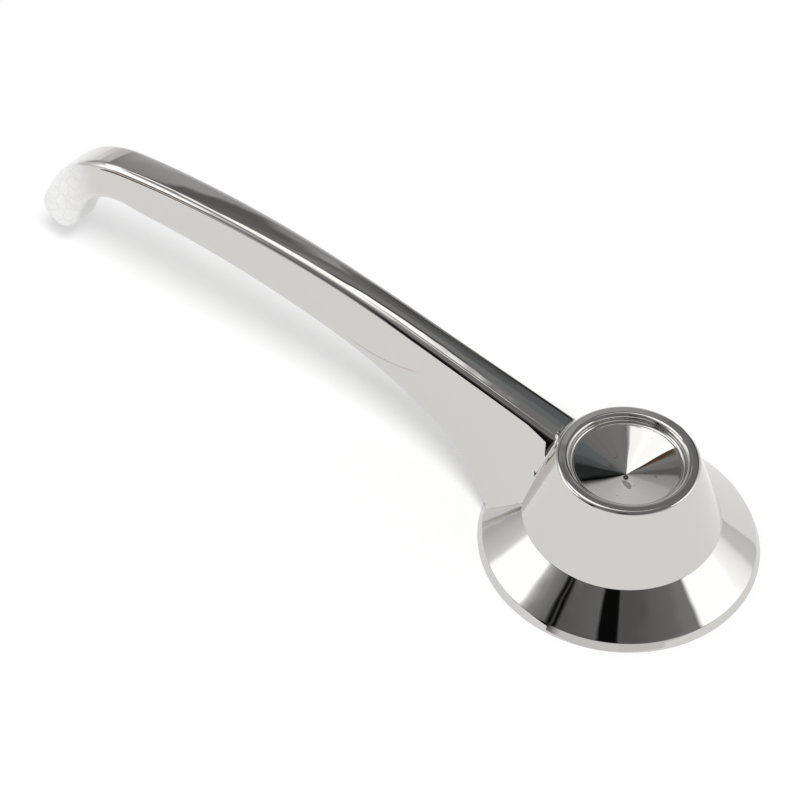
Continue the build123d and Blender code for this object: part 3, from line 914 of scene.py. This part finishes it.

# The tip's painted highlight: where the mask is on, the base colour goes whiter than the chrome's.
colour = frost_and_highlight.mix(CHROME, FROST_HIGHLIGHT_WHITE)
for mask, worn in ((0.45 * scratch, TARNISH), (0.6 * pits, TARNISH), (0.85 * dark_oval, DARK_OVAL_COLOUR)):
    colour = mask.mix(colour, worn)
colour = outside.mix(CASTING, colour)
bright = 0.008 + 0.022 * haze + 0.22 * frost_and_highlight + 0.12 * scratch
roughness = outside * bright + (1 - outside) * (0.38 + 0.2 * grain)
waves = tree.node("TexNoise", None, {"Vector": spot, "Scale": WAVE_SCALE, "Detail": 1.0})
ripple = tree.node("Bump", None, {"Strength": 1.0, "Distance": WAVE_DEPTH, "Height": waves})
finish_with(tree.node("BsdfPrincipled", None, {
    "Base Color": colour, "Metallic": 1.0, "Roughness": roughness, "Normal": ripple,
}))
chromed_handle.data.materials.clear()
chromed_handle.data.materials.append(chrome_plate)
print("plating nodes:", len(chrome_plate.node_tree.nodes))

# %% [markdown]
# The clip is plain spring steel, which is left dark by hardening and is oiled against rust. A noise stands
# for the oil: where there is more of it, the steel is lighter and less sharp.

# %% The clip's steel
STEEL_DARK, STEEL_LIGHT, OIL_SCALE = (0.22, 0.21, 0.20, 1), (0.33, 0.32, 0.31, 1), 300.0
clip_steel, tree = new_material("clip_steel")
spot = tree.node("TexCoord", None, None, "Object")
oil = tree.node("TexNoise", None, {"Vector": spot, "Scale": OIL_SCALE, "Detail": 3.0})
finish_with(tree.node("BsdfPrincipled", None, {
    "Base Color": oil.mix(STEEL_DARK, STEEL_LIGHT), "Metallic": 1.0, "Roughness": 0.3 + 0.2 * oil,
}))
spring_clip.data.materials.append(clip_steel)
print("materials:", [m.name for m in bpy.data.materials])

# %% [markdown]
# ## Hand the pieces to the frame
# Each piece rides on the body of the solid it dresses and stands for that solid in the picture.

# %% Pieces and their nodes
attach(chromed_handle, "root")
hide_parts("handle")
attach(spring_clip, "root")
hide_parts("retaining_clip")
print("handed over:", chromed_handle.name, "and", spring_clip.name)

# %% [markdown]
# ## The floor
# The handle lies on a white sheet. The floor is plain white paint that also gives off a little light to
# camera and mirrors, so that the open floor is white while the object's own shadow still darkens it near
# the rim. Under the lever's rounded edge the photograph shows a dark line, which is where the sheet ended
# beside it and the dark room began. So the floor has a slot there, and since all that the camera sees
# beyond the sheet is white as well, only the chrome shows it.

# %% White floor
FLOOR_HALF_M, FLOOR_Z, FLOOR_GLOW = 4.0, -0.00003, 0.30
SLOT_CORNERS = [(-0.146, -0.040), (-0.124, -0.103), (-0.097, -0.194), (-0.30, -0.194)]
seam_top, seam_foot = (SLOT_CORNERS[0][0], FLOOR_HALF_M), (SLOT_CORNERS[-1][0], -FLOOR_HALF_M)
left_part = [
    seam_top, (-FLOOR_HALF_M, FLOOR_HALF_M), (-FLOOR_HALF_M, -FLOOR_HALF_M), seam_foot, SLOT_CORNERS[-1],
    SLOT_CORNERS[0],
]
right_part = [
    seam_top, *SLOT_CORNERS, seam_foot, (FLOOR_HALF_M, -FLOOR_HALF_M), (FLOOR_HALF_M, FLOOR_HALF_M),
]
corners = [(x, y, FLOOR_Z) for x, y in left_part + right_part]
left_face, right_face = range(len(left_part)), range(len(left_part), len(corners))
floor_mesh = bpy.data.meshes.new("floor")
floor_mesh.from_pydata(corners, [], [tuple(left_face), tuple(right_face)])
floor = bpy.data.objects.new("floor", floor_mesh)
bpy.context.scene.collection.objects.link(floor)
print("floor corners:", len(corners))

# %% White paint that glows a little
floor_white, tree = new_material("floor_white")
ray = tree.node("LightPath", None, None, "Is Camera Ray")
glossy = tree.node("LightPath", None, None, "Is Glossy Ray")
through = tree.node("LightPath", None, None, "Is Transmission Ray")
seen = tree.maths("MINIMUM", ray + glossy + through, 1.0)
paper = tree.node("BsdfPrincipled", None, {
    "Base Color": (0.8, 0.8, 0.8, 1), "Roughness": 1.0, "Specular IOR Level": 0.0,
    "Emission Color": seen.mix((0, 0, 0, 1), (1, 1, 1, 1)), "Emission Strength": FLOOR_GLOW,
})
clear = tree.node("BsdfTransparent")
below = tree.node("NewGeometry", None, None, "Backfacing")
finish_with(tree.node("MixShader", None, {"Fac": below, 1: paper, 2: clear}))
floor_mesh.materials.append(floor_white)
print("floor glow:", FLOOR_GLOW)

# %% [markdown]
# In the photograph the shadow hugs the lever's lower left, which happens when most light comes from above
# and to the right of the handle. A wide sun lamp gives that. Mirrors don't see it, because the lamps that
# they show are painted in the world.

# %% Soft light from the right
HEADING_DEG = 37.82
SUN_BEARING_DEG, SUN_ELEVATION_DEG, SUN_STRENGTH, SUN_WIDTH_DEG = 158.0, 62.0, 1.6, 28.0
sun_data = bpy.data.lights.new("soft_sun", "SUN")
sun_data.energy, sun_data.angle = SUN_STRENGTH, math.radians(SUN_WIDTH_DEG)
sun = bpy.data.objects.new("soft_sun", sun_data)
sun.rotation_euler = (math.radians(SUN_ELEVATION_DEG - 90), 0, math.radians(HEADING_DEG - SUN_BEARING_DEG))
sun.visible_glossy = False
bpy.context.scene.collection.objects.link(sun)
print("sun shines along", (sun.rotation_euler.to_matrix() @ Vector((0, 0, -1))).to_tuple(3))

# %% [markdown]
# ## A studio worth reflecting
# The photograph was read like a map: the handle's shape is known, so each bright or dark patch on it tells
# in which direction a lamp or a dark wall stood. Those lamps and walls are painted into the world in bands
# of elevation, each with its levels by bearing, counted from straight ahead. Mirrors see the bands,
# everything else gets one plain level of white light, and the camera sees white.

# %% The world
sin_h, cos_h = math.sin(math.radians(HEADING_DEG)), math.cos(math.radians(HEADING_DEG))
world = bpy.data.worlds.new("studio")
bpy.context.scene.world = world
world.use_nodes = True
world.node_tree.nodes.clear()
world.cycles.sampling_method = "NONE"
tree = Shade(world.node_tree)
way = tree.node("TexCoord", None, None, "Generated")


def towards(axis):
    """How far a direction points along an axis: their dot product."""
    return tree.node("VectorMath", {"operation": "DOT_PRODUCT"}, {0: way, 1: axis}, "Value")


DEGREES = 180 / math.pi
bearing = tree.maths("ARCTAN2", towards((cos_h, sin_h, 0)), towards((-sin_h, cos_h, 0))) * DEGREES
elevation = tree.maths("ARCSINE", towards((0, 0, 1))) * DEGREES


def grey(level, tint=(1, 1, 1)):
    """A colour of that brightness."""
    return (level * tint[0], level * tint[1], level * tint[2], 1)


# %% The levels, band by band
TEAL, RUST = (0.9, 1.0, 1.03), (1.0, 0.55, 0.3)
BLACK, DARK, DIM, DULL, GREY, PALE, BRIGHT, LAMP = 0.005, 0.09, 0.20, 0.28, 0.42, 0.65, 0.95, 1.70
STUDIO = [
    # Each band: the elevation where it begins, how softly, and levels at bearings, some with a tint.
    # Below the horizon, where the white sheet ends: the foot of a dark stand.
    (-90, 1, [
        (-180, 1.0), (-132, 1.0), (-129, BLACK), (-117, BLACK), (-113, DARK), (-108, 0.17, RUST),
        (-102, 0.14, RUST), (-96, 0.3), (-92, 1.0),
    ]),
    # The foot of the room: pale walls, a black stand at the left and a black pole at the right.
    (0, 1, [
        (-180, 0.85), (-140, 0.8), (-133, DULL), (-129, BLACK), (-125, BLACK), (-122, 0.13), (-110, 0.17),
        (-102, 0.2, RUST), (-98, PALE), (-60, 0.75), (-25, BRIGHT), (-12, 0.7), (5, 0.55), (17, 0.5),
        (21, DARK), (27, BLACK), (29, BRIGHT), (32, PALE), (55, 0.74), (70, 0.87), (100, 0.8), (118, GREY),
        (130, 0.5), (142, 0.8),
    ]),
    # Walls with the lower edge of a lamp at the left and of another at the right.
    (8, 3, [
        (-180, 0.7), (-145, 0.5), (-136, GREY), (-131, BLACK), (-126, BLACK), (-123, DIM), (-118, 0.14),
        (-112, DULL), (-104, DULL), (-97, 0.5), (-92, 1.5), (-80, 1.5), (-72, BRIGHT), (-55, 0.7),
        (-42, GREY), (-33, 0.35), (-22, 0.72), (-10, 0.68), (10, 0.74), (20, 0.62), (23, DARK), (27, BLACK),
        (29, 1.3), (33, PALE), (60, 0.8), (74, 1.3), (92, LAMP), (108, 1.1), (122, 0.5), (145, 0.7),
    ]),
    # The two side lamps themselves.
    (18, 3, [
        (-180, DULL), (-140, 0.33), (-133, DARK), (-130, BLACK), (-125, BLACK), (-121, 0.17), (-112, DULL),
        (-107, 0.5), (-104, LAMP), (-71, LAMP), (-68, BRIGHT), (-58, 0.8), (-45, PALE), (-33, DULL),
        (-22, 0.3), (-10, 0.56), (5, 0.72), (23, 0.58), (26, BLACK), (33, BLACK), (37, PALE), (60, 0.8),
        (80, 1.5), (84, LAMP), (112, LAMP), (120, 0.5), (132, GREY), (180, DULL),
    ]),
    (28, 3, [
        (-180, DARK), (-165, DARK), (-158, 0.25), (-140, DULL), (-132, DARK), (-126, BLACK), (-123, 0.15),
        (-114, DULL), (-108, 0.35), (-103, 0.75), (-100, LAMP), (-55, LAMP), (-44, 0.8), (-32, GREY),
        (-20, 0.34), (-10, 0.45), (12, GREY), (18, DARK), (26, 0.04, TEAL), (38, 0.03, TEAL), (42, PALE),
        (60, 0.75), (88, 1.2), (96, LAMP), (116, LAMP), (119, 0.26), (140, 0.24), (170, 0.16),
    ]),
    # Dark room above them, black behind the camera.
    (37, 3, [
        (-180, 0.12), (-178.5, BLACK), (-164, BLACK), (-162, 0.16), (-132, 0.13), (-130, BLACK),
        (-128, BLACK), (-126.5, 0.08), (-125, BLACK), (-123, BLACK), (-121, 0.2), (-112, 0.3), (-109, GREY),
        (-104, 0.9), (-74, LAMP), (-50, LAMP), (-38, 0.75), (-30, DULL), (-22, 0.15), (-2, 0.15), (3, 0.35),
        (13, 0.35), (19, DARK), (29, 0.06), (37, DARK, TEAL), (42, 0.12, TEAL), (50, 0.45), (90, DULL),
        (130, DIM), (170, 0.13),
    ]),
    (43, 2, [
        (-180, 0.12), (-178.5, BLACK), (-164, BLACK), (-162, 0.18), (-142, 0.16), (-132, DIM), (-110, 0.25),
        (-60, 0.4), (-50, 0.35), (-44, 1.2), (-38, LAMP), (-33, 1.5), (-29, 0.25), (-18, DIM), (-8, 0.17),
        (0, 0.15), (5, DULL), (7, GREY), (10, GREY), (12, DIM), (22, 0.12), (30, 0.12, TEAL),
        (46, 0.17, TEAL), (60, DIM), (130, 0.13), (170, 0.12),
    ]),
    (48, 1, [
        (-180, 0.12), (-178.5, BLACK), (-164, BLACK), (-162, 0.18), (-140, 0.25), (-60, 0.4), (-50, 0.35),
        (-44, 1.2), (-38, LAMP), (-30, DULL), (0, 0.19), (12, 0.2), (30, 0.15, TEAL), (46, 0.17, TEAL),
        (60, DIM), (170, 0.12),
    ]),
    # The dark rim of the large overhead lamp, then the lamp, and the ceiling above it.
    (52, 2, [
        (-180, DIM), (-130, 0.26), (-100, GREY), (-80, 0.55), (-68, 0.85), (-58, 1.5), (-42, LAMP),
        (-39, 0.1, RUST), (-30, 0.1, RUST), (-25, 0.3), (-10, 0.35), (8, 0.25), (23, 0.27), (30, 0.2, TEAL),
        (60, 0.22), (120, DIM),
    ]),
    (56.6, 0.8, [
        (-180, DIM), (-130, 0.22), (-110, GREY), (-90, 0.8), (-72, 1.4), (-42, LAMP), (-30, LAMP),
        (-8, 1.2), (0, 0.15), (22, 0.06), (26, 0.24), (60, 0.22), (120, DIM),
    ]),
    (58.3, 0.8, [
        (-180, 0.15), (-125, DIM), (-112, 0.4), (-98, 0.85), (-85, 1.2), (-70, 1.5), (-12, LAMP),
        (20, LAMP), (25, 0.6), (27, 0.24), (57, 0.22), (120, DIM),
    ]),
    (63, 2, [
        (-180, 0.15), (-125, DIM), (-112, 0.5), (-98, 0.85), (-85, 1.2), (-70, LAMP), (0, 1.5), (14, 0.7),
        (22, 0.24), (57, 0.24), (120, DIM),
    ]),
    (71, 3, [
        (-180, DIM), (-118, 0.22), (-106, GREY), (-94, 1.0), (-84, 1.5), (-14, LAMP), (-4, 0.7), (8, 0.25),
        (60, 0.26), (120, 0.22),
    ]),
    (77, 1.5, [
        (-180, 0.22), (-104, 0.22), (-90, GREY), (-78, 1.0), (-20, 1.5), (10, 1.5), (18, 0.5), (26, 0.25),
        (120, 0.22),
    ]),
    (81.5, 1.5, [(0, 0.21)]),
]
print("bands:", len(STUDIO), "stops:", sum(len(levels) for *rest, levels in STUDIO))

# %% Paint them
PLAIN_LEVEL = 0.45
studio, turn_share = None, bearing / 360 + 0.5
for from_elevation, soft, levels in STUDIO:
    stops = [((degrees + 180) / 360, grey(*level)) for degrees, *level in levels]
    ring = tree.node("ValToRGB", {"stops": stops}, {"Fac": turn_share})
    if studio:
        ring = elevation.soft_step(from_elevation - soft / 2, from_elevation + soft / 2).mix(studio, ring)
    studio = ring
camera_ray = tree.node("LightPath", None, None, "Is Camera Ray")
glossy_ray = tree.node("LightPath", None, None, "Is Glossy Ray")
seen_sky = camera_ray.mix(glossy_ray.mix(grey(PLAIN_LEVEL), studio), grey(1.0))
finish_with(tree.node("Background", None, {"Color": seen_sky, "Strength": 1.0}), "OutputWorld")
print("world nodes:", len(world.node_tree.nodes))

# %% [markdown]
# ## The camera
# The camera stands where the photograph was taken from. Its place and lens were solved from the ellipses
# that the hub's circles make in the photograph.

# %% Camera
CAMERA_PLACE, CAMERA_PITCH_DEG, LENS_MM, SENSOR_MM = (0.09641, -0.18251, 0.247645), 46.565, 87.75, 36.0
pitch_sin, pitch_cos = math.sin(math.radians(CAMERA_PITCH_DEG)), math.cos(math.radians(CAMERA_PITCH_DEG))
right_axis = Vector((cos_h, sin_h, 0))
back_axis = Vector((sin_h * pitch_cos, -cos_h * pitch_cos, pitch_sin))
up_axis = back_axis.cross(right_axis)
turn = Matrix((right_axis, up_axis, back_axis)).transposed().to_4x4()
camera_data = bpy.data.cameras.new("camera")
camera_data.lens, camera_data.sensor_width = LENS_MM, SENSOR_MM
camera = bpy.data.objects.new("camera", camera_data)
camera.matrix_world = Matrix.Translation(CAMERA_PLACE) @ turn
bpy.context.scene.collection.objects.link(camera)
bpy.context.scene.camera = camera
bpy.context.scene.view_settings.view_transform = "Standard"
print("camera at", [round(v, 4) for v in camera.matrix_world.translation])
